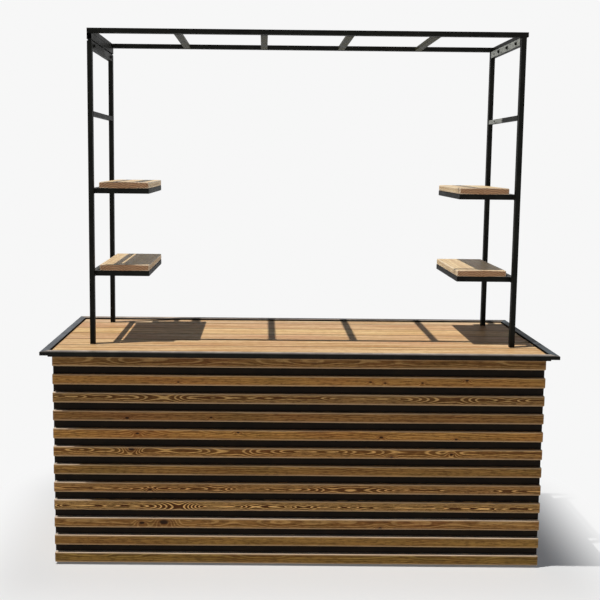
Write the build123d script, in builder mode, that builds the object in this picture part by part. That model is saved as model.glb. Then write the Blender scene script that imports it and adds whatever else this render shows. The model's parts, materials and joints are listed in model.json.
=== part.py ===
from build123d import *
import os

os.makedirs("parts", exist_ok=True)

# A market stall: a slatted counter with a boarded worktop in a steel edging.
# Two side frames stand on the worktop, carry two shelves each and hold an open roof frame.
# Millimetres. +X runs along the counter, -Y is the customer's side, +Z is up.
# The origin is on the ground under the middle of the worktop.

# Worktop and counter, outside sizes
counter_length = 2100
counter_depth = 600
counter_height = 920
edging_width = 30
edging_height = 15
top_board_thickness = 9
top_board_width = 93
top_board_joint = 1.5
top_board_count = 5
edging_gap = 4
base_thickness = 12
base_inset = 25

# Slatted body under the worktop
body_overhang_end = 37
body_overhang_front = 40
slat_rows = 12
slat_face = 43
slat_pitch = 76.3
slat_drop = 28
slat_thickness = 15
slat_rounding = 2
backing_thickness = 12
backing_clearance = 5
leg_size = 30
rail_height_off_ground = 30

# Square tube of the side frames and the roof
tube_size = 20
tube_deep = 30
tube_wall = 2
tube_rounding = 1.5
crossbar_width = 30
crossbar_height = 15

# Side frames and roof, measured from the worktop's edges
side_frame_left = -882
side_frame_right = 918
front_post_setback = 137
rear_post_setback = 79
left_post_top = 2178
right_post_top = 2210
cross_tie_top = 1894
roof_left = -882
roof_right = 925
roof_top = 2230
roof_bays = 5
riser_seam = 6
spigot_size = 14

# Shelves
shelf_width = 210
shelf_depth = 328
shelf_front = -134
shelf_gap = 16
shelf_board_thickness = 26
shelf_frame_height = 22
shelf_rounding = 5
left_shelf_tops = {"upper": 1600, "lower": 1250}
right_shelf_tops = {"upper": 1589, "lower": 1239}

# Levels and edges that follow from the sizes above
half_length = counter_length / 2
half_depth = counter_depth / 2
edging_bottom = counter_height - edging_height
base_bottom = edging_bottom - base_thickness
body_half = half_length - body_overhang_end
slat_front = -half_depth + body_overhang_front
backing_front = slat_front + slat_thickness
frame_front = backing_front + backing_thickness
frame_rear = half_depth - body_overhang_front
side_slat_inner = body_half - slat_thickness
frame_half = side_slat_inner - backing_thickness
post_front = -half_depth + front_post_setback
post_rear = half_depth - rear_post_setback
worktop_level = edging_bottom + top_board_thickness
roof_bottom = roof_top - tube_size


def save(part, name):
    part.label = name
    export_step(part, f"parts/{name}.step")


def make_tube(name, start, along, across, length, section, mitres=(), cap=None):
    # Rolled tube: the section is given as (size along across, size square to it).
    plane = Plane(origin=start, x_dir=across, z_dir=along)
    with BuildPart() as tube:
        with BuildSketch(plane):
            RectangleRounded(section[0], section[1], tube_rounding)
            Rectangle(section[0] - 2 * tube_wall, section[1] - 2 * tube_wall, mode=Mode.SUBTRACT)
        extrude(amount=length)
        for corner, keep_side in mitres:
            split(bisect_by=Plane(origin=corner, z_dir=keep_side), keep=Keep.TOP)
        if cap == "end":
            with BuildSketch(plane.offset(length - tube_wall)):
                Rectangle(section[0] - 2 * tube_wall, section[1] - 2 * tube_wall)
            extrude(amount=tube_wall)
        if cap == "start":
            with BuildSketch(plane):
                Rectangle(section[0] - 2 * tube_wall, section[1] - 2 * tube_wall)
            extrude(amount=tube_wall)
    save(tube.part, name)


def make_ring(names, left, right, front, rear, bottom, width, height):
    # Four tubes mitred at the corners, in the order front, right, rear, left.
    corners = [Vector(left, front), Vector(right, front), Vector(right, rear), Vector(left, rear)]
    middle = Vector(0, 0, bottom + height / 2)
    for side, name in enumerate(names):
        begin = corners[side]
        finish = corners[(side + 1) % 4]
        along = (finish - begin).normalized()
        inward = Vector(-along.Y, along.X)
        mitres = ((begin, along - inward), (finish, -along - inward))
        start = begin + inward * (width / 2) + middle
        length = (finish - begin).length
        make_tube(name, start, along, inward, length, (width, height), mitres)


def make_worktop():
    edging = ["edging_front", "edging_right", "edging_rear", "edging_left"]
    make_ring(edging, -half_length, half_length, -half_depth, half_depth,
              edging_bottom, edging_width, edging_height)
    inner_half = half_length - edging_width - edging_gap
    inner_front = -half_depth + edging_width + edging_gap
    inner_depth = counter_depth - 2 * (edging_width + edging_gap)
    board_pitch = top_board_width + top_board_joint
    strip_width = inner_depth - top_board_count * board_pitch
    board_middle = edging_bottom + top_board_thickness / 2
    widths = [top_board_width] * top_board_count + [strip_width]
    with BuildPart() as worktop_boards:
        with BuildSketch(Plane.YZ.offset(-inner_half)):
            for index, width in enumerate(widths):
                with Locations((inner_front + index * board_pitch + width / 2, board_middle)):
                    Rectangle(width, top_board_thickness)
        extrude(amount=2 * inner_half)
    save(worktop_boards.part, "worktop_boards")
    with BuildPart() as worktop_base:
        with BuildSketch(Plane.XY.offset(base_bottom)):
            Rectangle(counter_length - 2 * base_inset, counter_depth - 2 * base_inset)
        extrude(amount=base_thickness)
    save(worktop_base.part, "worktop_base")


def slat_levels():
    top_slat = counter_height - slat_drop - slat_face / 2
    return [top_slat - row * slat_pitch for row in range(slat_rows)]


def make_front():
    with BuildPart() as front_slats:
        with BuildSketch(Plane.YZ.offset(-body_half)):
            with Locations(*[(slat_front + slat_thickness / 2, level) for level in slat_levels()]):
                RectangleRounded(slat_thickness, slat_face, slat_rounding)
        extrude(amount=2 * body_half)
    save(front_slats.part, "front_slats")
    with BuildPart() as front_backing:
        with BuildSketch(Plane.XZ.offset(-backing_front)):
            with Locations((0, (base_bottom + backing_clearance) / 2)):
                Rectangle(2 * body_half, base_bottom - backing_clearance)
        extrude(amount=-backing_thickness)
    save(front_backing.part, "front_backing_board")


def make_end(name, side):
    end_depth = frame_rear - frame_front
    slat_middle = side * (body_half - slat_thickness / 2)
    with BuildPart() as end_slats:
        with BuildSketch(Plane.XZ.offset(-frame_front)):
            with Locations(*[(slat_middle, level) for level in slat_levels()]):
                RectangleRounded(slat_thickness, slat_face, slat_rounding)
        extrude(amount=-end_depth)
    save(end_slats.part, f"{name}_slats")
    backing_middle = side * (side_slat_inner - backing_thickness / 2)
    with BuildPart() as end_backing:
        with BuildSketch(Plane.XZ.offset(-frame_front)):
            with Locations((backing_middle, (base_bottom + backing_clearance) / 2)):
                Rectangle(backing_thickness, base_bottom - backing_clearance)
        extrude(amount=-end_depth)
    save(end_backing.part, f"{name}_backing_board")


def make_counter_frame():
    leg_section = (leg_size, leg_size)
    leg_x = frame_half - leg_size / 2
    leg_rows = {"front": frame_front + leg_size / 2, "rear": frame_rear - leg_size / 2}
    between_legs = 2 * (frame_half - leg_size)
    top_level = base_bottom - leg_size / 2
    bottom_level = rail_height_off_ground + leg_size / 2
    for row, leg_y in leg_rows.items():
        for name, side in (("left", -1), ("right", 1)):
            make_tube(f"counter_leg_{row}_{name}", (side * leg_x, leg_y, 0), (0, 0, 1), (1, 0, 0),
                      base_bottom, leg_section, cap="start")
        make_tube(f"counter_top_rail_{row}", (-between_legs / 2, leg_y, top_level),
                  (1, 0, 0), (0, 1, 0), between_legs, leg_section)
    make_tube("counter_bottom_rail_front", (-between_legs / 2, leg_rows["front"], bottom_level),
              (1, 0, 0), (0, 1, 0), between_legs, leg_section)
    for name, side in (("left", -1), ("right", 1)):
        start_y = frame_front + leg_size
        make_tube(f"counter_bottom_rail_{name}", (side * leg_x, start_y, bottom_level), (0, 1, 0), (1, 0, 0),
                  frame_rear - leg_size - start_y, leg_section)


def make_side_frame(name, outer_x, side, post_top):
    middle_x = outer_x - side * tube_size / 2
    section = (tube_size, tube_size)
    post_height = post_top - worktop_level
    for row, post_y in (("front", post_front + tube_size / 2), ("rear", post_rear - tube_size / 2)):
        make_tube(f"side_post_{row}_{name}", (middle_x, post_y, worktop_level), (0, 0, 1), (1, 0, 0),
                  post_height, section, cap="end")
    inner_front = post_front + tube_size
    inner_length = post_rear - tube_size - inner_front
    make_tube(f"side_top_rail_{name}", (middle_x, inner_front, post_top - tube_deep / 2),
              (0, 1, 0), (1, 0, 0), inner_length, (tube_size, tube_deep))
    make_tube(f"side_cross_tie_{name}", (middle_x, inner_front, cross_tie_top - tube_size / 2),
              (0, 1, 0), (1, 0, 0), inner_length, section)


def make_shelf(name, outer_x, side, shelf_top):
    # A rung between the posts, two short spacers and a welded frame with a middle bar.
    shelf_outer = outer_x - side * (tube_size + shelf_gap)
    shelf_middle = shelf_outer - side * shelf_width / 2
    depth_middle = shelf_front + shelf_depth / 2
    frame_top = shelf_top - shelf_board_thickness
    rung_middle = outer_x - side * tube_size / 2
    rung_length = post_rear - post_front - 2 * tube_size
    rung_depth_middle = (post_front + post_rear) / 2
    window_width = shelf_width - 2 * tube_size
    window_depth = (shelf_depth - 3 * tube_size) / 2
    spacer_middle = outer_x - side * (tube_size + shelf_gap / 2)
    spacer_offset = (shelf_depth - tube_size) / 2
    with BuildPart() as shelf_frame:
        with BuildSketch(Plane.XY.offset(frame_top - shelf_frame_height)):
            with Locations((shelf_middle, depth_middle)):
                Rectangle(shelf_width, shelf_depth)
                with GridLocations(0, window_depth + tube_size, 1, 2):
                    Rectangle(window_width, window_depth, mode=Mode.SUBTRACT)
            with Locations((rung_middle, rung_depth_middle)):
                Rectangle(tube_size, rung_length)
            with Locations((spacer_middle, depth_middle - spacer_offset),
                           (spacer_middle, depth_middle + spacer_offset)):
                Rectangle(shelf_gap, tube_size)
        extrude(amount=shelf_frame_height)
    save(shelf_frame.part, f"shelf_frame_{name}")
    with BuildPart() as shelf_board:
        with BuildSketch(Plane.XY.offset(frame_top)):
            with Locations((shelf_middle, depth_middle)):
                Rectangle(shelf_width, shelf_depth)
        extrude(amount=shelf_board_thickness)
        fillet(shelf_board.edges().filter_by(Axis.Z), shelf_rounding)
        fillet(shelf_board.edges().group_by(Axis.Z)[-1], shelf_rounding - 1)
    save(shelf_board.part, f"shelf_board_{name}")


def make_roof():
    names = ["roof_tube_front", "roof_end_right", "roof_tube_rear", "roof_end_left"]
    make_ring(names, roof_left, roof_right, post_front, post_rear, roof_bottom, tube_size, tube_size)
    # The left side frame is shorter: a riser tube on two spigots makes up the height.
    riser_bottom = left_post_top + riser_seam
    riser_height = roof_bottom - riser_bottom
    riser_middle = side_frame_left + tube_size / 2
    make_tube("roof_riser_left", (riser_middle, post_front, riser_bottom + riser_height / 2),
              (0, 1, 0), (1, 0, 0), post_rear - post_front, (tube_size, riser_height))
    leg_spacing = post_rear - post_front - tube_size
    with BuildPart() as riser_spigots:
        with BuildSketch(Plane.XY.offset(left_post_top)):
            with Locations((riser_middle, (post_front + post_rear) / 2)):
                with GridLocations(0, leg_spacing, 1, 2):
                    Rectangle(spigot_size, spigot_size)
        extrude(amount=riser_seam)
    save(riser_spigots.part, "riser_spigots_left")
    bay = (roof_right - roof_left - tube_size) / roof_bays
    inner_front = post_front + tube_size
    inner_length = post_rear - post_front - 2 * tube_size
    for index in range(1, roof_bays):
        bar_x = roof_left + tube_size / 2 + index * bay
        make_tube(f"roof_crossbar_{index}", (bar_x, inner_front, roof_bottom + crossbar_height / 2),
                  (0, 1, 0), (1, 0, 0), inner_length, (crossbar_width, crossbar_height))


make_worktop()
make_front()
make_end("left", -1)
make_end("right", 1)
make_counter_frame()
make_side_frame("left", side_frame_left, -1, left_post_top)
make_side_frame("right", side_frame_right, 1, right_post_top)
for level, top in left_shelf_tops.items():
    make_shelf(f"left_{level}", side_frame_left, -1, top)
for level, top in right_shelf_tops.items():
    make_shelf(f"right_{level}", side_frame_right, 1, top)
make_roof()
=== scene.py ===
import bpy
import json
import numpy as np
from mathutils import Matrix, Vector


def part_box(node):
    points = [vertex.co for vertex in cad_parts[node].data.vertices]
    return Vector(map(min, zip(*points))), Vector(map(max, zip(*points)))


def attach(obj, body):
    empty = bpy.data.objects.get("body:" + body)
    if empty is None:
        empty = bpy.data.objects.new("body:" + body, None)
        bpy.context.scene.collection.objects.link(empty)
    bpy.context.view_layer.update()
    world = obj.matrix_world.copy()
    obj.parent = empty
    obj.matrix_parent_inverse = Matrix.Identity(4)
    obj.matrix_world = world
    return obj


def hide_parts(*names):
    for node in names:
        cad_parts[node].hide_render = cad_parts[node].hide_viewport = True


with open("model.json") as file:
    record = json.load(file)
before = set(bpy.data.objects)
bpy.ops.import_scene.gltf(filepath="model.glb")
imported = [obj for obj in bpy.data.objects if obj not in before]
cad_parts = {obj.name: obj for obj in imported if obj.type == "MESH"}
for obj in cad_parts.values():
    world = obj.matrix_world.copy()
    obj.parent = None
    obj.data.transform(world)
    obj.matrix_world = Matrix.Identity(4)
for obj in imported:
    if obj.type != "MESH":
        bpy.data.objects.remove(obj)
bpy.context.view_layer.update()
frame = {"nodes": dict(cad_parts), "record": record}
nodes = frame["nodes"]
slotOf = {part["node"]: part["material_slot"] for part in frame["record"]["subparts"]}
print("stage 1: frame loaded,", len(nodes), "nodes")

cameraSettings = {
    "eye": (-0.1526, -2.8527, 1.7000),   # metres, a standing customer's eye
    "yaw": 0.0039, "pitch": 0.0776, "roll": 0.0100,
    "focalPixels": 647.1, "framePixels": 600, "sensorWidth": 36.0, "farthest": 200.0,
    "axisPixel": (266.2, 210.0),         # where the lens axis meets the frame
}


def placeCamera(s):
    # Three turns give the lens axis: yaw about up, pitch about right, roll about the axis itself.
    cy, sy = np.cos(s["yaw"]), np.sin(s["yaw"])
    cp, sp = np.cos(s["pitch"]), np.sin(s["pitch"])
    cr, sr = np.cos(s["roll"]), np.sin(s["roll"])
    right = np.array([cy, -sy, 0.0])
    forward = np.array([cp * sy, cp * cy, -sp])
    up = np.array([sp * sy, sp * cy, cp])
    right, up = cr * right + sr * up, cr * up - sr * right
    data = bpy.data.cameras.new("stallCamera")
    data.sensor_width = s["sensorWidth"]
    data.lens = s["focalPixels"] * s["sensorWidth"] / s["framePixels"]
    data.shift_x = 0.5 - s["axisPixel"][0] / s["framePixels"]
    data.shift_y = s["axisPixel"][1] / s["framePixels"] - 0.5
    data.clip_end = s["farthest"]
    camera = bpy.data.objects.new("stallCamera", data)
    turn = Matrix((right, up, -forward)).transposed()
    camera.matrix_world = Matrix.Translation(Vector(s["eye"])) @ turn.to_4x4()
    bpy.context.scene.collection.objects.link(camera)
    bpy.context.scene.camera = camera


placeCamera(cameraSettings)


def linear(rgb):
    # Screen colour 0..255 to the linear value that a shader takes.
    c = np.asarray(rgb, float) / 255.0
    return tuple(np.where(c <= 0.04045, c / 12.92, ((c + 0.055) / 1.055) ** 2.4)) + (1.0,)


def grey(level):
    return (level, level, level, 1.0)


class NodeWriter:
    # A short way to write a node tree: each call adds one node and returns its output.
    def __init__(self, owner, outputKind="ShaderNodeOutputMaterial"):
        self.owner = owner
        owner.use_nodes = True
        self.tree = owner.node_tree
        self.tree.nodes.clear()
        self.out = self.tree.nodes.new(outputKind)

    def put(self, socket, value):
        if isinstance(value, bpy.types.NodeSocket):
            self.tree.links.new(value, socket)
        elif value is not None:
            socket.default_value = value

    def add(self, kind, inputs, output=0, **settings):
        # Settings come first, because some of them change which inputs there are.
        node = self.tree.nodes.new("ShaderNode" + kind)
        for key, value in settings.items():
            setattr(node, key, value)
        for key, value in inputs.items():
            self.put(node.inputs[key], value)
        return node.outputs[output]

    def math(self, kind, a, b=None):
        return self.add("Math", {0: a, 1: b}, operation=kind)

    def times(self, first, *others):
        for other in others:
            first = self.math("MULTIPLY", first, other)
        return first

    def plus(self, first, *others):
        for other in others:
            first = self.math("ADD", first, other)
        return first

    def minus(self, a, b):
        return self.math("SUBTRACT", a, b)

    def most(self, a, b):
        return self.math("MAXIMUM", a, b)

    def length(self, *values):
        # Square root of the sum of squares.
        return self.math("SQRT", self.plus(*[self.times(v, v) for v in values]))

    def split(self, vector):
        return self.add("SeparateXYZ", {0: vector}).node.outputs[:]

    def join(self, x, y, z):
        return self.add("CombineXYZ", {0: x, 1: y, 2: z})

    def noise(self, at, scale, detail, rough):
        inputs = {"Vector": at, "Scale": scale, "Detail": detail, "Roughness": rough, "Distortion": 0.0}
        return self.add("TexNoise", inputs, "Fac")

    def band(self, value, low, high, start=0.0, end=1.0):
        # A smooth step from start to end while the value goes from low to high.
        inputs = {"Value": value, "From Min": low, "From Max": high, "To Min": start, "To Max": end}
        return self.add("MapRange", inputs, "Result", interpolation_type="SMOOTHSTEP")

    def mix(self, share, a, b, kind="MIX"):
        return self.add("Mix", {"Factor": share, 6: a, 7: b}, 2, data_type="RGBA", blend_type=kind)

    def attribute(self, name, kind="Vector"):
        return self.add("Attribute", {}, kind, attribute_name=name)

    def place(self):
        return self.add("TexCoord", {}, "Object")

    def facing(self):
        return self.split(self.add("NewGeometry", {}, "Normal"))

    def ray(self, kind):
        return self.add("LightPath", {}, kind)

    def bump(self, height, distance, strength):
        return self.add("Bump", {"Strength": strength, "Distance": distance, "Height": height})

    def close(self, surface):
        self.put(self.out.inputs["Surface"], surface)
        return self.owner

    def finish(self, color, roughness, normal, gloss):
        return self.close(self.add("BsdfPrincipled", {
            "Base Color": color, "Roughness": roughness, "Normal": normal, "Metallic": 0.0,
            "Specular IOR Level": gloss}))


lightSettings = {
    "keyDirection": (0.31, 0.060, -1.0), "keyStrength": 2.85, "keyWidth": 0.0093,
    "keyColor": (1.0, 0.985, 0.96),
    "fills": (   # place, width, height, watts: low screens that light upright faces and miss the worktop
        ((-0.4, -5.0, 0.44), 5.0, 0.88, 42.0),
        ((0.4, 5.0, 0.44), 5.0, 0.88, 22.0),
    ),
    "fillAim": (0.0, 0.0, 0.85),
    "dome": (0.034, 0.050, 0.074, 1.0), "whiteStrength": 0.93,
}


def setLights(s):
    scene = bpy.context.scene
    scene.view_settings.view_transform = "Standard"
    key = bpy.data.lights.new("key", "SUN")
    key.energy = s["keyStrength"]
    key.angle = s["keyWidth"]
    key.color = s["keyColor"]
    lamp = bpy.data.objects.new("key", key)
    lamp.rotation_euler = Vector(s["keyDirection"]).to_track_quat("-Z", "Y").to_euler()
    scene.collection.objects.link(lamp)
    for k, (place, width, height, watts) in enumerate(s["fills"]):
        fill = bpy.data.lights.new("fill%d" % k, "AREA")
        fill.shape = "RECTANGLE"
        fill.size = width
        fill.size_y = height
        fill.energy = watts
        screen = bpy.data.objects.new("fill%d" % k, fill)
        screen.location = place
        aim = Vector(s["fillAim"]) - Vector(place)
        screen.rotation_euler = aim.to_track_quat("-Z", "Y").to_euler()
        screen.visible_camera = False
        screen.visible_glossy = False
        scene.collection.objects.link(screen)
    # The world is a dim, slightly cool dome, but the lens and shiny surfaces see it white.
    world = bpy.data.worlds.new("studio")
    scene.world = world
    m = NodeWriter(world, "ShaderNodeOutputWorld")
    white = m.most(m.most(m.ray("Is Camera Ray"), m.ray("Is Glossy Ray")), m.ray("Is Transmission Ray"))
    m.close(m.add("Background", {"Color": m.mix(white, s["dome"], grey(s["whiteStrength"]))}))


floorSettings = {
    "half": 60.0, "color": 0.78, "whiteStrength": lightSettings["whiteStrength"],
    "footprint": (1.05, 0.30, 0.0),     # half sizes; over it the floor keeps the whole shadow
    "fade": 0.44, "leastGlow": 0.10,    # metres from the footprint to plain white; glow over the footprint
}


def layFloor(s):
    # A flat square sheet whose colour runs into the white background. Distance from the footprint: how far
    # each side is passed, never below nothing, then the length of that.
    h = s["half"]
    mesh = bpy.data.meshes.new("floor")
    mesh.from_pydata([(-h, -h, 0), (h, -h, 0), (h, h, 0), (-h, h, 0)], [], [(0, 1, 2, 3)])
    floor = bpy.data.objects.new("floor", mesh)
    bpy.context.scene.collection.objects.link(floor)
    m = NodeWriter(bpy.data.materials.new("paleFloor"))
    away = m.add("VectorMath", {0: m.place()}, operation="ABSOLUTE")
    away = m.add("VectorMath", {0: away, 1: s["footprint"]}, operation="SUBTRACT")
    away = m.add("VectorMath", {0: away, 1: (0.0, 0.0, 0.0)}, operation="MAXIMUM")
    distance = m.add("VectorMath", {0: away}, "Value", operation="LENGTH")
    glow = m.times(m.ray("Is Camera Ray"), m.band(distance, 0.0, s["fade"], s["leastGlow"]))
    matt = m.add("BsdfDiffuse", {"Color": grey(s["color"])})
    white = m.add("Emission", {"Strength": s["whiteStrength"]})
    mesh.materials.append(m.close(m.add("MixShader", {0: glow, 1: matt, 2: white})))


setLights(lightSettings)
layFloor(floorSettings)
print("stage 2: camera, light and floor")


grain = {   # shared by the three woods
    # noise: waves per metre along, across and through the board, its detail and its roughness
    "ripple": ((11.0, 46.0, 46.0), 3.0, 0.6), "fibre": ((8.0, 560.0, 560.0), 3.0, 0.6),
    "cloud": ((3.4, 16.0, 1.0), 2.0, 0.5), "blush": ((1.7, 9.0, 1.0), 2.0, 0.5),
    "mottle": ((34.0, 170.0, 170.0), 3.0, 0.65),
    "streakAlong": 2.0, "poresPerMetre": 900.0, "blushAside": 3.0,
    # where each noise begins to mark the wood and where it marks it fully
    "streakEdges": (0.32, 0.68), "cloudEdges": (0.42, 0.70), "blushEdges": (0.45, 0.68),
    "fibreEdges": (0.45, 0.72), "mottleEdges": (0.49, 0.64), "fleckEdges": (0.47, 0.34),
    "poreEdges": (0.4, 0.7), "sunPaintEdges": (0.2, 0.6), "wearEdges": (0.25, 0.6),
    "sunPaintThin": 0.8, "wearThin": 0.45,             # what the painted sunlight and the wear keep where their noise is low
    "plainDrift": 0.15, "plainLines": 0.1,         # the drift and the late lines of the plainest board
    "fleckShare": 0.6, "endShare": 0.85,           # strength of the pale flecks, and of the cut ends' colours
    "knotStretch": 1.9, "knotPull": 2.6, "knotReach": 0.14,    # how far a knot bends the rings round it
    "knotCore": (0.7, 1.2), "knotHalo": (1.1, 3.2),            # edges of its dark core and halo, in its radii
    "sunPaintSlope": (0.15, 0.55),                       # slope at which a face begins to take the painted sunlight, and takes it fully
    "fibreRough": 0.25, "lateRough": -0.08, "roughShift": -0.12,
    "fibreHeight": 0.5, "lateHeight": 0.35, "knotHeight": -0.8, "reliefStrength": 0.7,
}


def timber(name, s):
    # Growth rings are circles about a pith line near the board: their radius is bent by slow noise along
    # the board and by its knots, and a saw wave of it tells early wood from late wood.
    # Fibres and streaks are noise stretched along the board. The cut ends show the rings and dark pores.
    # Faces that look up are painted pale as if sunlit (painted sunlight), as far as the bar's attribute for
    # it says.
    m = NodeWriter(bpy.data.materials.new(name))
    gx, gy, gz = m.split(m.attribute("grain"))
    pithAcross, pithDeep, figure = m.split(m.attribute("pith"))
    arris, cut = m.attribute("arris", "Fac"), m.attribute("cut", "Fac")

    def stretched(waves, aside=0.0):
        x, y, z = (m.times(g, wave) for g, wave in zip((gx, gy, gz), waves))
        return m.join(x, y, m.plus(z, aside))

    def layer(key, aside=0.0):
        waves, detail, rough = grain[key]
        return m.noise(stretched(waves, aside), 1.0, detail, rough)

    slow = m.noise(stretched((s["driftPerMetre"], 1.0, 1.0)), 1.0, 2.0, 0.5)
    drift = m.times(m.minus(slow, 0.5), s["drift"], m.plus(figure, grain["plainDrift"]))
    warp = m.times(m.minus(layer("ripple"), 0.5), s["warp"])
    bend, dark, halo = 0.0, 0.0, 0.0
    for key in s["knotNames"]:
        kx, ky, kr = m.split(m.attribute(key))
        dx = m.math("DIVIDE", m.minus(gx, kx), grain["knotStretch"])
        near = m.math("DIVIDE", m.length(dx, m.minus(gy, ky)), m.most(kr, 0.0001))
        pull = m.times(m.math("EXPONENT", m.times(near, near, -grain["knotReach"])), kr, grain["knotPull"])
        bend = m.plus(pull, bend)
        dark = m.most(m.band(near, *grain["knotCore"], 1.0, 0.0), dark)
        halo = m.most(m.band(near, *grain["knotHalo"], 1.0, 0.0), halo)
    radius = m.plus(m.length(m.plus(m.minus(gy, pithAcross), warp), m.plus(gz, pithDeep, drift)), bend)
    phase = m.math("FRACT", m.times(radius, 1.0 / s["ringPitch"]))
    late = m.times(m.band(phase, s["lateFrom"], s["lateTo"]), m.band(phase, 1.0, s["lateEnd"]))

    streakAt = stretched((grain["streakAlong"], s["streaks"], s["streaks"]))
    streak = m.noise(streakAt, 1.0, 2.0, 0.55)
    fibre, mottle = layer("fibre"), layer("mottle")
    base = m.mix(m.band(streak, *grain["streakEdges"]), linear(s["light"]), linear(s["middle"]))
    lines = m.plus(m.times(figure, 1.0 - grain["plainLines"]), grain["plainLines"])
    for share, depth, stain in (
            (m.band(layer("cloud"), *grain["cloudEdges"]), "cloudDepth", "cloud"),
            (m.band(layer("blush", grain["blushAside"]), *grain["blushEdges"]), "blushDepth", "blush"),
            (m.times(m.minus(1.0, late), figure), "earlyDepth", "early"),
            (m.times(late, lines), "lateDepth", "late"),
            (m.band(fibre, *grain["fibreEdges"]), "fibreDepth", "fibre"),
            (m.band(mottle, *grain["mottleEdges"]), "mottleDepth", "fibre"),
            (m.times(m.band(mottle, *grain["fleckEdges"]), grain["fleckShare"]), "mottleDepth", "light"),
            (halo, "haloDepth", "halo"),
            (dark, "knotDepth", "knot")):
        base = m.mix(m.times(share, s[depth]), base, linear(s[stain]))
    base = m.mix(1.0, base, m.attribute("tone"), "MULTIPLY")
    # painted sunlight: a pale colour on upward faces, as far as the sun is taken to reach
    lit = m.times(m.attribute("sunlitPaint", "Fac"), m.band(m.facing()[2], *grain["sunPaintSlope"]))
    sunPainted = m.times(lit, m.band(streak, *grain["sunPaintEdges"], grain["sunPaintThin"]), s["sunPaintDepth"])
    base = m.mix(sunPainted, base, linear(s["sunPaint"]))

    pores = grain["poresPerMetre"]
    pores = m.noise(m.join(m.times(gy, pores), m.times(gz, pores), gx), 1.0, 2.0, 0.6)
    endWood = m.mix(m.band(pores, *grain["poreEdges"]), linear(s["endLight"]), linear(s["endDark"]))
    endWood = m.mix(m.times(late, grain["endShare"]), endWood, linear(s["endDark"]))
    base = m.mix(m.times(cut, grain["endShare"]), base, endWood)
    chips = m.band(m.noise(streakAt, 1.3, 2.0, 0.6), *grain["wearEdges"], grain["wearThin"])
    base = m.mix(m.times(arris, chips, s["wearDepth"]), base, linear(s["wear"]))
    rough = m.plus(m.times(fibre, grain["fibreRough"]), m.times(late, grain["lateRough"]),
                   s["roughness"] + grain["roughShift"])
    height = m.plus(m.times(fibre, grain["fibreHeight"]), m.times(late, grain["lateHeight"]),
                    m.times(dark, grain["knotHeight"]))
    return m.finish(base, rough, m.bump(height, s["relief"], grain["reliefStrength"]), s["gloss"])


stainedLarch = {   # the stain sinks into the early wood and leaves the late wood as pale lines
    "light": (168, 122, 66), "middle": (128, 86, 42), "early": (70, 40, 17), "late": (230, 186, 118),
    "fibre": (70, 42, 18), "cloud": (112, 84, 38), "blush": (134, 78, 40), "halo": (112, 66, 34),
    # the pale colour for upward faces is painted sunlight, near white as under direct sun
    "knot": (30, 17, 9), "wear": (196, 164, 126), "sunPaint": (255, 240, 220),
    "endLight": (120, 92, 58), "endDark": (58, 40, 24),
    "wearDepth": 0.75, "sunPaintDepth": 1.0, "earlyDepth": 0.80, "lateDepth": 0.86, "fibreDepth": 0.45,
    "cloudDepth": 0.6, "blushDepth": 0.5, "mottleDepth": 0.52, "haloDepth": 0.45, "knotDepth": 0.92,
    "streaks": 110.0, "ringPitch": 0.0044, "lateFrom": 0.52, "lateTo": 0.76, "lateEnd": 0.86,
    "driftPerMetre": 2.3, "drift": 0.095, "warp": 0.008, "roughness": 0.58,
    "gloss": 0.10, "relief": 0.0005, "knotNames": ("knotA", "knotB", "knotC", "knotD", "knotE"),
}
oiledPine = {
    "light": (252, 222, 172), "middle": (200, 152, 98), "early": (248, 222, 176), "late": (158, 108, 60),
    "fibre": (170, 120, 74), "cloud": (222, 176, 136), "blush": (226, 174, 140), "halo": (200, 146, 96),
    "knot": (104, 62, 36), "wear": (112, 76, 48), "sunPaint": (240, 206, 162),
    "endLight": (206, 160, 124), "endDark": (142, 92, 62),
    "wearDepth": 0.8, "sunPaintDepth": 0.0, "earlyDepth": 0.3, "lateDepth": 0.62, "fibreDepth": 0.42,
    "cloudDepth": 0.45, "blushDepth": 0.4, "mottleDepth": 0.36, "haloDepth": 0.45, "knotDepth": 0.92,
    "streaks": 64.0, "ringPitch": 0.0062, "lateFrom": 0.30, "lateTo": 0.90, "lateEnd": 0.92,
    "driftPerMetre": 1.1, "drift": 0.034, "warp": 0.003, "roughness": 0.52,
    "gloss": 0.05, "relief": 0.0003, "knotNames": ("knotA",),
}
shelfPine = dict(
    oiledPine, light=(250, 226, 178), middle=(230, 198, 146), late=(180, 128, 78), early=(250, 228, 184),
    cloud=(236, 204, 150), blush=(234, 198, 158), wear=(246, 226, 196), wearDepth=0.7, lateDepth=0.6,
    gloss=0.3, endLight=(198, 144, 102), endDark=(96, 54, 32), ringPitch=0.0085)


sawing = {   # shared by all the bars
    "cornerRub": np.array([0.0, 0.8, 1.0, 1.0, 1.0, 0.8, 0.0]),    # wear over the points of a corner
    "endRub": np.array([0.0, 1.0, 1.0, 0.6]),                      # and over the rings of a rounded end
    "cutRings": 2,                             # rings of faces at each end that show the end grain
    "bowWaves": (0.5, 1.5),                    # how many waves a bar's wander has
    "logHalf": 40.0,                           # half the length of log that the bars are cut from
    "sunlitPaint": (0.0, 0.3),                     # metres of painted sunlight from the low end, and how much of it beyond them
    "sunlitPaintEdge": 0.01,                       # metres over which that changes
    "figure": (0.2, 0.6), "tone": (0.94, 1.05),                    # where a bar has none of its own
    # place of the pith from the bar's middle; plain boards are cut far from it
    "pithWander": 0.006, "pithAside": (0.02, 0.06), "pithNear": 0.010, "pithFar": 0.05,
    "noKnot": (99.0, 0.0, 0.0001),             # fills the knots that a bar doesn't have, far out of reach
}


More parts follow.
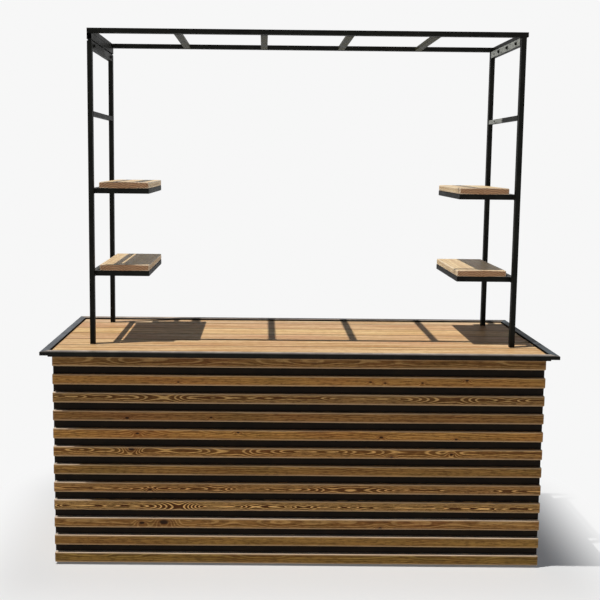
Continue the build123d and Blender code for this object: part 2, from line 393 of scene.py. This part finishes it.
def roundedSection(halfA, halfB, radii, guard, rubs):
    # Goes round the section anticlockwise. At each corner: a guard point on the flat, a quarter circle
    # (corner centre + radius times cosine and sine of t), a guard point. The mark is that arris's rub on the
    # quarter circle and 0 on its guards. The share is the corner's radius over the largest one.
    wear = sawing["cornerRub"]
    turn = np.linspace(0.0, np.pi / 2, len(wear) - 2)
    a, b, mark, share = [], [], [], []
    for k, (sa, sb) in enumerate(((1, 1), (-1, 1), (-1, -1), (1, -1))):
        t, r = turn + k * np.pi / 2, radii[k]
        arcA = sa * (halfA - r) + r * np.cos(t)
        arcB = sb * (halfB - r) + r * np.sin(t)
        a.append(np.r_[arcA[0] + guard * np.sin(t[0]), arcA, arcA[-1] - guard * np.sin(t[-1])])
        b.append(np.r_[arcB[0] - guard * np.cos(t[0]), arcB, arcB[-1] + guard * np.cos(t[-1])])
        mark.append(rubs[k] * wear)
        share.append(np.full(len(wear), r / max(radii)))
    return np.concatenate(a), np.concatenate(b), np.concatenate(mark), np.concatenate(share)


def barGrid(s, bar, depth, rng):
    # A rounded section is carried along the bar's length. In the last few millimetres the place runs as
    # radius times 1 - cosine while the section is drawn in by radius times 1 - sine, which rounds the end.
    # The whole bar wanders by a slow sine that is nil at both ends.
    along, across = s["along"], s["across"]
    lo, hi = np.asarray(bar["low"], float), np.asarray(bar["high"], float)
    mid, half = (lo + hi) / 2, (hi - lo) / 2
    radii = bar.get("radii", (s["rounding"],) * 4)
    r = max(radii)
    a, b, mark, share = roundedSection(half[across], half[depth], radii, s["guard"], s["rubs"])
    quarter = np.linspace(0.0, np.pi / 2, len(sawing["endRub"]))
    ease, draw = r * (1 - np.cos(quarter)), r * (1 - np.sin(quarter))
    straight = np.linspace(lo[along] + r + s["guard"], hi[along] - r - s["guard"], s["stations"])
    x = np.r_[lo[along] + ease, straight, hi[along] - ease[::-1]]
    pull = np.r_[draw, np.zeros(s["stations"]), draw[::-1]][:, None] * share[None, :]
    wide = a[None, :] - np.sign(a)[None, :] * pull
    deep = b[None, :] - np.sign(b)[None, :] * pull
    q = (x - lo[along]) / (hi[along] - lo[along])
    waves = [q * rng.uniform(*sawing["bowWaves"]) + rng.uniform() for way in (across, depth)]
    sway, sag = (s["bow"] * np.sin(np.pi * q) * np.sin(2 * np.pi * wave) for wave in waves)
    points = np.zeros(wide.shape + (3,))
    points[:, :, along] = x[:, None]
    points[:, :, across] = mid[across] + wide + sway[:, None]
    points[:, :, depth] = mid[depth] + deep + sag[:, None]
    return points, x, wide, deep, mark


def barGrain(s, bar, x, wide, deep, mark, knotNames, rng):
    # What the timber reads at each point: its place in the log, where the pith and the knots lie, how far the
    # arris is rubbed, and how far from its low end the bar takes painted sunlight.
    count, around = wide.size, wide.shape[1]
    shift = rng.uniform(-sawing["logHalf"], sawing["logHalf"])
    lengthwise = np.broadcast_to(x[:, None] + shift, wide.shape)
    ends = np.r_[sawing["endRub"], np.zeros(s["stations"]), sawing["endRub"][::-1]]
    rubbed = np.maximum(mark[None, :], s["endRub"] * ends[:, None])
    rubbed[[0, -1]] = 0.0
    reach, beyond = bar.get("sunlitPaint", sawing["sunlitPaint"])
    sunned = np.clip((x[0] + reach - x) / sawing["sunlitPaintEdge"], 0.0, 1.0)
    figure = bar.get("figure", rng.uniform(*sawing["figure"]))
    plain = max(0.0, 1.0 - figure)
    wander = rng.uniform(-sawing["pithWander"], sawing["pithWander"])
    aside = wander + plain * rng.uniform(*sawing["pithAside"])
    pith = bar.get("pith", (aside, sawing["pithNear"] + plain * sawing["pithFar"], figure))
    tone = bar.get("tone", (rng.uniform(*sawing["tone"]),) * 3)
    marks = {
        "grain": np.stack([lengthwise, wide, deep], -1).reshape(-1, 3),
        "pith": np.tile(pith, (count, 1)),
        "tone": np.tile(tone, (count, 1)),
        "arris": rubbed.reshape(-1),
        "sunlitPaint": np.repeat(beyond + (1.0 - beyond) * sunned, around),
    }
    knots = list(bar.get("knots", ())) + [sawing["noKnot"]] * len(knotNames)
    for key, (place, height, radius) in zip(knotNames, knots):
        marks[key] = np.tile((place + shift, height, radius), (count, 1))
    return marks


def closedTubes(n, nu, nv):
    # Faces of n tubes, each nu rings of nv points, and their end caps, as whole arrays of point numbers.
    i, a, b = np.meshgrid(np.arange(n), np.arange(nu - 1), np.arange(nv), indexing="ij")
    here, there = (i * nu + a) * nv, (i * nu + a + 1) * nv
    c = (b + 1) % nv
    quad = np.stack([here + b, here + c, there + c, there + b], -1)
    low = np.arange(n)[:, None] * nu * nv + np.arange(nv)[None, :]
    return quad, np.stack([low[:, ::-1], low + (nu - 1) * nv], 1)


def addPiece(name, verts, faces, material, replaced=(), pointData=(), faceData=(), smooth=None):
    mesh = bpy.data.meshes.new(name)
    mesh.from_pydata(np.asarray(verts).tolist(), [], faces)
    for domain, layers in (("POINT", pointData), ("FACE", faceData)):
        for key, data in layers:
            data = np.asarray(data, np.float32)
            wide = data.ndim == 2
            layer = mesh.attributes.new(key, "FLOAT_VECTOR" if wide else "FLOAT", domain)
            layer.data.foreach_set("vector" if wide else "value", data.ravel())
    if smooth is not None:
        mesh.polygons.foreach_set("use_smooth", np.asarray(smooth, bool))
    mesh.update()
    mesh.materials.append(material)
    piece = bpy.data.objects.new(name, mesh)
    bpy.context.scene.collection.objects.link(piece)
    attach(piece, "root")
    if replaced:
        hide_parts(*replaced)
    return piece


def sawnBars(name, s, bars, replaced, material, knotNames):
    # Each bar is a closed tube of its own, and all of them are one mesh.
    rng = np.random.default_rng(s["seed"])
    depth = 3 - s["along"] - s["across"]
    mirrored = np.linalg.det(np.eye(3)[[s["along"], s["across"], depth]]) < 0    # its faces are turned round
    verts, faces, marks, cuts, smooth = [], [], [], [], []
    base = 0
    for bar in bars:
        points, *grid = barGrid(s, bar, depth, rng)
        marks.append(barGrain(s, bar, *grid, knotNames, rng))
        verts.append(points.reshape(-1, 3))
        nu, nv = points.shape[:2]
        quad, caps = closedTubes(1, nu, nv)
        if mirrored:
            quad, caps = quad[..., ::-1], caps[..., ::-1]
        faces += (quad.reshape(-1, 4) + base).tolist() + (caps.reshape(-1, nv) + base).tolist()
        ring = np.arange(nu - 1)
        atEnd = np.minimum(ring, nu - 2 - ring) < sawing["cutRings"]
        cuts.append(np.r_[np.repeat(atEnd, nv), True, True])
        smooth.append(np.r_[np.ones((nu - 1) * nv), 0, 0])
        base += nu * nv
    return addPiece(name, np.concatenate(verts), faces, material, replaced,
                    [(key, np.concatenate([each[key] for each in marks])) for key in marks[0]],
                    [("cut", np.concatenate(cuts))], np.concatenate(smooth))


slatSettings = {
    "seed": 11, "rows": 12, "face": 0.043, "pitch": 0.0763, "drop": 0.028,
    "along": 0, "across": 2, "rounding": 0.0030, "guard": 0.005, "stations": 36, "bow": 0.0006,
    "rubs": (0.25, 0.25, 1.0, 1.0), "endRub": 0.3,    # the lower arrises are rubbed palest
    # painted sunlight on the rows' tops: the overhang shades a row's top less the lower it lies, so the
    # painted length = reach times drop - overhang
    "sunReach": 0.31, "overhang": 0.03, "sunnedBelow": 0.68, "shaded": 0.1,
    "figures": (0.35, 0.22, 0.85, 0.25, 0.30, 0.75, 0.32, 0.95, 1.35, 0.30, 0.25, 0.25),
    "tones": ((0.84, 0.84, 0.86), (1.32, 1.28, 1.12), (0.90, 0.88, 0.86), (0.90, 0.86, 0.84),
              (1.40, 1.32, 1.10), (1.20, 1.12, 0.98), (0.98, 0.98, 0.84), (1.10, 1.00, 0.90),
              (1.20, 1.14, 1.02), (1.04, 1.02, 0.98), (0.98, 1.02, 0.84), (0.78, 0.86, 0.64)),
    "knots": {   # row, from 0 at the top: place along it, height above its middle, radius
        1: ((-0.496, -0.007, 0.0030), (0.293, -0.001, 0.0035), (0.353, -0.005, 0.0032),
            (0.507, -0.003, 0.0032), (0.690, 0.009, 0.0041)),
        3: ((-0.707, -0.008, 0.0047), (-0.361, -0.004, 0.0034)),
        4: ((-0.665, 0.003, 0.0043), (-0.249, 0.011, 0.0035), (0.343, -0.006, 0.0046),
            (0.653, -0.012, 0.0038)),
        5: ((-0.690, 0.012, 0.0068), (0.387, -0.014, 0.0038), (0.635, 0.0, 0.0041)),
        7: ((-0.613, -0.009, 0.0046),),
        9: ((-0.556, 0.004, 0.0100), (-0.648, 0.0, 0.0061), (0.347, -0.015, 0.0041))},
}
endSlatSettings = dict(slatSettings, along=1, stations=10, seeds={"left": 21, "right": 31})
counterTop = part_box("edging_front")[1].z


def slatBars(node, s, seenRows):
    # The rows hang below the counter's top at one pitch; the front ones each have a figure, tone and knots,
    # and painted sunlight on their tops: full below a drop, weak above it, and from the left end for as far
    # as the sun reaches.
    low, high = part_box(node)
    bars = []
    for row in range(s["rows"]):
        top = counterTop - s["drop"] - s["pitch"] * row
        bar = {"low": (low.x, low.y, top - s["face"]), "high": (high.x, high.y, top)}
        if seenRows:
            bar["figure"] = s["figures"][row]
            bar["tone"] = s["tones"][row]
            bar["knots"] = s["knots"].get(row, ())
            drop = counterTop - top
            level = 1.0 if drop > s["sunnedBelow"] else s["shaded"]
            bar["sunlitPaint"] = (s["sunReach"] * drop - s["overhang"], level)
        bars.append(bar)
    return bars


def laySlats(s, ends):
    larch = timber("stainedLarch", stainedLarch)
    knotNames = stainedLarch["knotNames"]
    sawnBars("frontSlats", s, slatBars("front_slats", s, True), ["front_slats"],
             larch, knotNames)
    for side, seed in ends["seeds"].items():
        node = side + "_slats"
        sawnBars(side + "Slats", dict(ends, seed=seed), slatBars(node, ends, False), [node],
                 larch, knotNames)


laySlats(slatSettings, endSlatSettings)
print("stage 3: slats")

topSettings = {
    "seed": 5, "along": 0, "across": 1, "rounding": 0.0020, "guard": 0.003, "stations": 24, "bow": 0.0,
    "rubs": (1.0, 1.0, 1.0, 1.0), "endRub": 1.0,
    "width": 0.093, "joint": 0.0015, "count": 5,    # whole boards; a strip fills the rest
    "figures": (0.35, 0.25, 0.5, 0.3, 0.45, 0.2),
    "tones": ((1.02, 1.01, 0.95), (1.0, 0.97, 0.93), (0.97, 0.93, 0.92), (1.08, 1.08, 0.98),
              (0.98, 0.93, 0.92), (0.98, 1.02, 1.12)),
}


def layWorktop(s):
    low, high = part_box("worktop_boards")
    bars = []
    for k in range(s["count"] + 1):
        start = low.y + k * (s["width"] + s["joint"])
        end = start + s["width"] if k < s["count"] else high.y
        bars.append({"low": (low.x, start, low.z), "high": (high.x, end, high.z),
                     "figure": s["figures"][k], "tone": s["tones"][k]})
    sawnBars("worktopBoards", s, bars, ["worktop_boards"],
             timber("oiledPine", oiledPine), oiledPine["knotNames"])


shelfSettings = {
    "seed": 8, "along": 1, "across": 0, "rounding": 0.004, "guard": 0.004, "stations": 12, "bow": 0.0,
    "rubs": (1.0, 1.0, 1.0, 1.0), "endRub": 1.0, "seam": 0.0003,
    "staveTones": ((1.0, 1.0, 1.0), (0.97, 0.95, 0.92)),
    "stavePiths": ((0.010, 0.052, 0.5), (-0.014, 0.066, 0.4)),    # across, deep, figure
}


def layShelves(s):
    # Two glued staves make a shelf board: their outer arrises are rounded, the glued edges stay sharp.
    pine = timber("shelfPine", shelfPine)
    r, sharp = s["rounding"], s["seam"]
    for k, node in enumerate(sorted(n for n in nodes if n.startswith("shelf_board"))):
        low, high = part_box(node)
        joint = (low.x + high.x) / 2
        bars = [{"low": (low.x, low.y, low.z), "high": (joint, high.y, high.z),
                 "radii": (sharp, r, r, sharp), "pith": s["stavePiths"][0], "tone": s["staveTones"][k % 2]},
                {"low": (joint, low.y, low.z), "high": (high.x, high.y, high.z),
                 "radii": (r, sharp, sharp, r), "pith": s["stavePiths"][1],
                 "tone": s["staveTones"][1 - k % 2]}]
        sawnBars(node.replace("shelf_board", "shelfBoard"), dict(s, seed=s["seed"] + k), bars,
                 [node], pine, shelfPine["knotNames"])


layWorktop(topSettings)
layShelves(shelfSettings)
print("stage 4: worktop and shelves")


def steelPaint(name, s):
    # A coat on steel or board: cloudy in tone, with faint orange peel, and on faces that look up a pale coat
    # that is dust and, on the edgings, painted sky reflection. On a rim that coat lies only inwards of a
    # line. A pale painted sunlit sheen runs along the faces that look towards -x, where the key light falls,
    # from one place backwards.
    m = NodeWriter(bpy.data.materials.new(name))
    at = m.place()
    x, y, z = m.split(at)
    nx, _, nz = m.facing()
    peel = m.noise(at, s["peelPerMetre"], 3.0, 0.6)
    cloud = m.noise(at, s["cloudPerMetre"], 3.0, 0.55)
    color = m.mix(m.band(cloud, *s["cloudEdges"]), linear(s["dark"]), linear(s["light"]))
    # dust on faces that look up; on the edgings this pale coat is partly painted sky reflection
    dustAndSheen = m.times(m.band(nz, *s["dustAndSheenSlope"]), m.band(cloud, *s["dustAndSheenEdges"], s["dustAndSheenThin"]), s["dustAndSheenDepth"])
    if s["dustAndSheenRim"]:
        inward = m.minus(s["rimAt"], m.math("ABSOLUTE", y))
        dustAndSheen = m.times(dustAndSheen, m.band(inward, *s["dustAndSheenRim"], s["rimThin"]))
    color = m.mix(dustAndSheen, color, linear(s["dustAndSheen"]))
    # painted highlight: pale patches on faces towards -x, standing in for the key light's sheen on the black
    # paint
    if s["sunSheenDepth"]:
        waves = [m.times(c, wave) for c, wave in zip((x, y, z), s["sunSheenWaves"])]
        sheenPatch = m.band(m.noise(m.join(*waves), 1.0, 3.0, 0.6), *s["sunSheenEdges"])
        sunSheen = m.times(m.band(m.times(nx, -1.0), *s["sunSheenSlope"]), sheenPatch, s["sunSheenDepth"])
        sunSheen = m.times(sunSheen, m.band(y, s["sunSheenFrom"], s["sunSheenFrom"] + s["sunSheenFade"]))
        color = m.mix(sunSheen, color, linear(s["sunSheen"]))
    rough = m.band(cloud, *s["roughEdges"], s["roughness"] - s["smoother"], s["roughness"] + s["rougher"])
    return m.finish(color, rough, m.bump(peel, s["peelDepth"], s["peelStrength"]), s["gloss"])


postPaint = {
    "dark": (22, 22, 19), "light": (32, 32, 28), "cloudPerMetre": 14.0,
    "cloudEdges": (0.3, 0.7), "dustAndSheenEdges": (0.35, 0.7), "dustAndSheenThin": 0.55, "dustAndSheenSlope": (0.5, 1.0),
    "dustAndSheen": (104, 98, 90), "dustAndSheenDepth": 0.25, "dustAndSheenRim": (),
    "roughEdges": (0.2, 0.8), "smoother": 0.06, "rougher": 0.08,
    "gloss": 0.05, "roughness": 0.42, "peelPerMetre": 420.0, "peelDepth": 0.00025, "peelStrength": 0.35,
    # a pale painted sunlit sheen on faces towards -x; none unless a coat gives it a depth
    "sunSheen": (178, 180, 172), "sunSheenDepth": 0.0, "sunSheenFrom": -9.0, "sunSheenFade": 0.02,
    "sunSheenWaves": (60.0, 22.0, 160.0), "sunSheenEdges": (0.33, 0.46), "sunSheenSlope": (0.6, 0.95),
}
# on the edgings' tops the pale coat is partly dust and partly painted sky reflection: warm pale at the front
# and rear, bluish grey on the left, darker on the right
edgingPaint = dict(postPaint, dustAndSheen=(206, 190, 176), dustAndSheenDepth=0.9, dustAndSheenRim=(0.008, 0.020), rimThin=0.15,
                   rimAt=0.300)    # half the depth of the counter
rearPaint = dict(postPaint, dustAndSheen=(196, 178, 162), dustAndSheenDepth=0.9)
leftPaint = dict(postPaint, dustAndSheen=(112, 116, 122), dustAndSheenDepth=0.95)
rightPaint = dict(postPaint, dustAndSheen=(84, 92, 98), dustAndSheenDepth=0.8)
# the right rail, and the right tie from y = 0.02 backwards, take the painted sunlit sheen on their inner
# faces
sunSheenRailPaint = dict(postPaint, sunSheenDepth=0.85)
tiePaint = dict(postPaint, sunSheenDepth=0.8, sunSheenFrom=0.02)
# the crossbars' coat is an olive khaki black all over
crossbarPaint = dict(postPaint, dark=(34, 34, 23), light=(66, 64, 46))
boardPaint = dict(postPaint, dark=(22, 17, 12), light=(32, 25, 18), dustAndSheen=(60, 56, 50), dustAndSheenDepth=0.2,
                  gloss=0.1, roughness=0.75, peelPerMetre=160.0)
zincPlate = dict(postPaint, dark=(112, 112, 108), light=(150, 150, 146), dustAndSheen=(168, 166, 160),
                 gloss=0.5, roughness=0.34)


def dress(coats, special):
    # A node with a coat of its own takes that, and any other takes the coat of its slot.
    for node, piece in nodes.items():
        coat = special.get(node, coats.get(slotOf[node]))
        if coat is not None:
            for slot in piece.material_slots:
                slot.material = coat


satin = steelPaint("satinBlackPaint", postPaint)
board = steelPaint("mattBlackBoard", boardPaint)
crossbars = steelPaint("khakiOlivePaint", crossbarPaint)
dress({
    "black_steel": satin,
    "edging_steel": steelPaint("dustAndSheenyBlackPaint", edgingPaint),
    "backing_board": board,
}, {
    "worktop_base": board,
    "side_top_rail_right": steelPaint("sunSheenBlackPaint", sunSheenRailPaint),
    "side_cross_tie_right": steelPaint("sunSheenTiePaint", tiePaint),
    "edging_left": steelPaint("leftEdgePaint", leftPaint),
    "edging_rear": steelPaint("rearEdgePaint", rearPaint),
    "edging_right": steelPaint("rightEdgePaint", rightPaint),
    **{"roof_crossbar_%d" % k: crossbars for k in range(1, 5)},
})
print("stage 5: steel and boards painted")

weldSettings = {
    "corner": 0.0030, "flatHalf": 0.0018, "flatHeight": 0.0008,    # a corner bead's radius; a flat one's size
    "thinning": 6, "thinnest": 0.04,     # power that keeps a bead full up to its ends, and what is left there
    "swell": 0.16, "swellLength": 0.00286, "sink": 0.0003, "stations": 18, "points": 6,
    "carrierHeight": 0.022,              # of the frame below a shelf board
}


def layWelds(s, seams):
    # A bead follows a straight seam: place = start + u times (end - start) + a(u) cos v P + b(u) sin v Q. In
    # a corner P and Q are the two metal faces and v runs a quarter turn; on a flat, Q leaves the metal and v
    # runs a half turn. The size is 1 + a slow sine of u, and the bead thins at both ends.
    start, end, alongP, alongQ = (np.array([seam[k] for seam in seams], float) for k in range(4))
    flat = np.array([seam[4] for seam in seams], bool)
    n, nu, nv = len(seams), s["stations"], s["points"]
    u = np.linspace(0.0, 1.0, nu)
    length = np.linalg.norm(end - start, axis=1)
    swell = 1.0 + s["swell"] * np.sin(2 * np.pi * u[None, :] * length[:, None] / s["swellLength"])
    size = swell * np.sqrt(np.clip(1.0 - (2 * u - 1) ** s["thinning"], s["thinnest"], 1.0))[None, :]
    v = np.linspace(0.0, 1.0, nv)[None, :] * np.where(flat, np.pi, np.pi / 2)[:, None]
    wide = np.where(flat, s["flatHalf"], s["corner"])[:, None, None] * size[:, :, None]
    high = np.where(flat, s["flatHeight"], s["corner"])[:, None, None] * size[:, :, None]
    line = start[:, None, :] + u[None, :, None] * (end - start)[:, None, :]
    arc = (line[:, :, None, :] + (wide * np.cos(v)[:, None, :])[..., None] * alongP[:, None, None, :]
           + (high * np.sin(v)[:, None, :])[..., None] * alongQ[:, None, None, :])
    inner = line - s["sink"] * (alongQ + np.where(flat[:, None], 0.0, 1.0) * alongP)[:, None, :]
    rings = np.concatenate([arc, inner[:, :, None, :]], axis=2)
    quad, caps = closedTubes(n, nu, nv + 1)
    quad, caps = quad[..., [0, 3, 2, 1]], caps[..., ::-1]    # turned to face outwards
    inward = np.einsum("ij,ij->i", np.cross(alongP, alongQ), end - start) > 0    # these are turned back
    quad[inward] = quad[inward][..., ::-1]
    caps[inward] = caps[inward][..., ::-1]
    faces = quad.reshape(-1, 4).tolist() + caps.reshape(-1, nv + 1).tolist()
    addPiece("weldBeads", rings.reshape(-1, 3), faces, satin, smooth=np.ones(len(faces)))


def barSeams(low, high, flatBottom=False, flatTop=False, flatSides=True):
    # A level bar along y meets a post at each end: beads up its two sides and across its bottom and top.
    # A flat seam lies between flush faces, any other in a corner.
    seams = []
    xWay, yWay, zWay = np.eye(3)
    for y, away in ((low.y, 1.0), (high.y, -1.0)):
        for x, side in ((low.x, -1.0), (high.x, 1.0)):
            seams.append(((x, y, low.z), (x, y, high.z), away * yWay, side * xWay, flatSides))
        for z, up, flat in ((low.z, -1.0, flatBottom), (high.z, 1.0, flatTop)):
            seams.append(((low.x, y, z), (high.x, y, z), away * yWay, up * zWay, flat))
    return seams


def frameSeams(s):
    # Every bar between two uprights or between the two long roof tubes, and the shelf carriers.
    seams = []
    for side in ("left", "right"):
        seams += barSeams(*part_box("side_top_rail_" + side), flatTop=True)
        seams += barSeams(*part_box("side_cross_tie_" + side))
        post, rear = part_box("side_post_front_" + side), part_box("side_post_rear_" + side)
        for level in ("upper", "lower"):
            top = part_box("shelf_board_%s_%s" % (side, level))[0].z
            seams += barSeams(Vector((post[0].x, post[1].y, top - s["carrierHeight"])),
                              Vector((post[1].x, rear[0].y, top)))
    for k in range(1, 5):
        seams += barSeams(*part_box("roof_crossbar_%d" % k), flatBottom=True, flatSides=False)
    return seams


layWelds(weldSettings, frameSeams(weldSettings))

boltSettings = {
    # distance out and height of each ring, and whether the ring is a hexagon
    "rings": ((0.0080, -0.0003, 0), (0.0080, 0.0012, 0), (0.0076, 0.0015, 0), (0.0050, 0.0015, 1),
              (0.0050, 0.0054, 1), (0.0044, 0.0062, 1)),
    "around": 24,
    "rungDrop": 0.011, "rungPlaces": (-0.124, 0.184),    # below a shelf board, and along y
    "railPlaces": {"left": (-0.122, 0.170), "right": (-0.100, 0.0, 0.100)},
}
screwSettings = {
    "rings": ((0.0046, -0.0003, 0), (0.0046, 0.0006, 0), (0.0040, 0.0018, 0), (0.0030, 0.0025, 0),
              (0.0014, 0.0028, 0), (0.0010, 0.0014, 0)),
    "around": 16,
    "frontColumns": (-0.90, -0.45, 0.02, 0.46, 0.90), "endColumns": (-0.12, 0.16),
}


def spinHeads(name, s, places, material):
    # Each head is its profile swept round its axis: place + r(t) (cos t E + sin t F) + height times axis. A
    # hexagon's radius is its half width over the cosine of the angle from the nearest flat.
    centre = np.array([place[0] for place in places], float)
    axis = np.array([place[1] for place in places], float)
    east = np.where(np.abs(axis[:, 2:]) > 0.5, [[1.0, 0.0, 0.0]], [[0.0, 0.0, 1.0]])
    north = np.cross(axis, east)
    t = np.arange(s["around"]) * 2 * np.pi / s["around"]
    out, height, six = (np.array(column, float) for column in zip(*s["rings"]))
    hexagon = 1.0 / np.cos(np.mod(t, np.pi / 3) - np.pi / 6)
    r = out[:, None] * np.where(six[:, None] > 0.5, hexagon[None, :], 1.0)
    turn = (east[:, None, None, :] * np.cos(t)[None, None, :, None]
            + north[:, None, None, :] * np.sin(t)[None, None, :, None])
    rings = (centre[:, None, None, :] + r[None, :, :, None] * turn
             + height[None, :, None, None] * axis[:, None, None, :])
    quad, caps = closedTubes(len(places), len(out), s["around"])
    faces = quad.reshape(-1, 4).tolist() + caps.reshape(-1, s["around"]).tolist()
    addPiece(name, rings.reshape(-1, 3), faces, material)


def boltPlaces(s):
    # On the outer faces of the shelf rungs behind each spacer, and on the inner faces of the roof rails.
    places = []
    for side, away in (("left", -1.0), ("right", 1.0)):
        inner, outer = sorted((corner.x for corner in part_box("side_post_front_" + side)), key=abs)
        for level in ("upper", "lower"):
            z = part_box("shelf_board_%s_%s" % (side, level))[0].z - s["rungDrop"]
            places += [((outer, y, z), (away, 0.0, 0.0)) for y in s["rungPlaces"]]
        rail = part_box("side_top_rail_" + side)
        z = (rail[0].z + rail[1].z) / 2
        places += [((inner, y, z), (-away, 0.0, 0.0)) for y in s["railPlaces"][side]]
    return places


def screwPlaces(s, rows):
    # One screw behind every slat at each column, on the hidden faces of the backing boards.
    z = counterTop - rows["drop"] - rows["pitch"] * np.arange(rows["rows"]) - rows["face"] / 2
    front, left, right = (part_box(side + "_backing_board") for side in ("front", "left", "right"))
    places = [((x, front[1].y, h), (0.0, 1.0, 0.0)) for h in z for x in s["frontColumns"]]
    places += [((left[1].x, y, h), (1.0, 0.0, 0.0)) for h in z for y in s["endColumns"]]
    places += [((right[0].x, y, h), (-1.0, 0.0, 0.0)) for h in z for y in s["endColumns"]]
    return places


spinHeads("rungBolts", boltSettings, boltPlaces(boltSettings), satin)
spinHeads("slatScrews", screwSettings, screwPlaces(screwSettings, slatSettings),
          steelPaint("zincPlate", zincPlate))
print("stage 6: welds, bolts and screws")
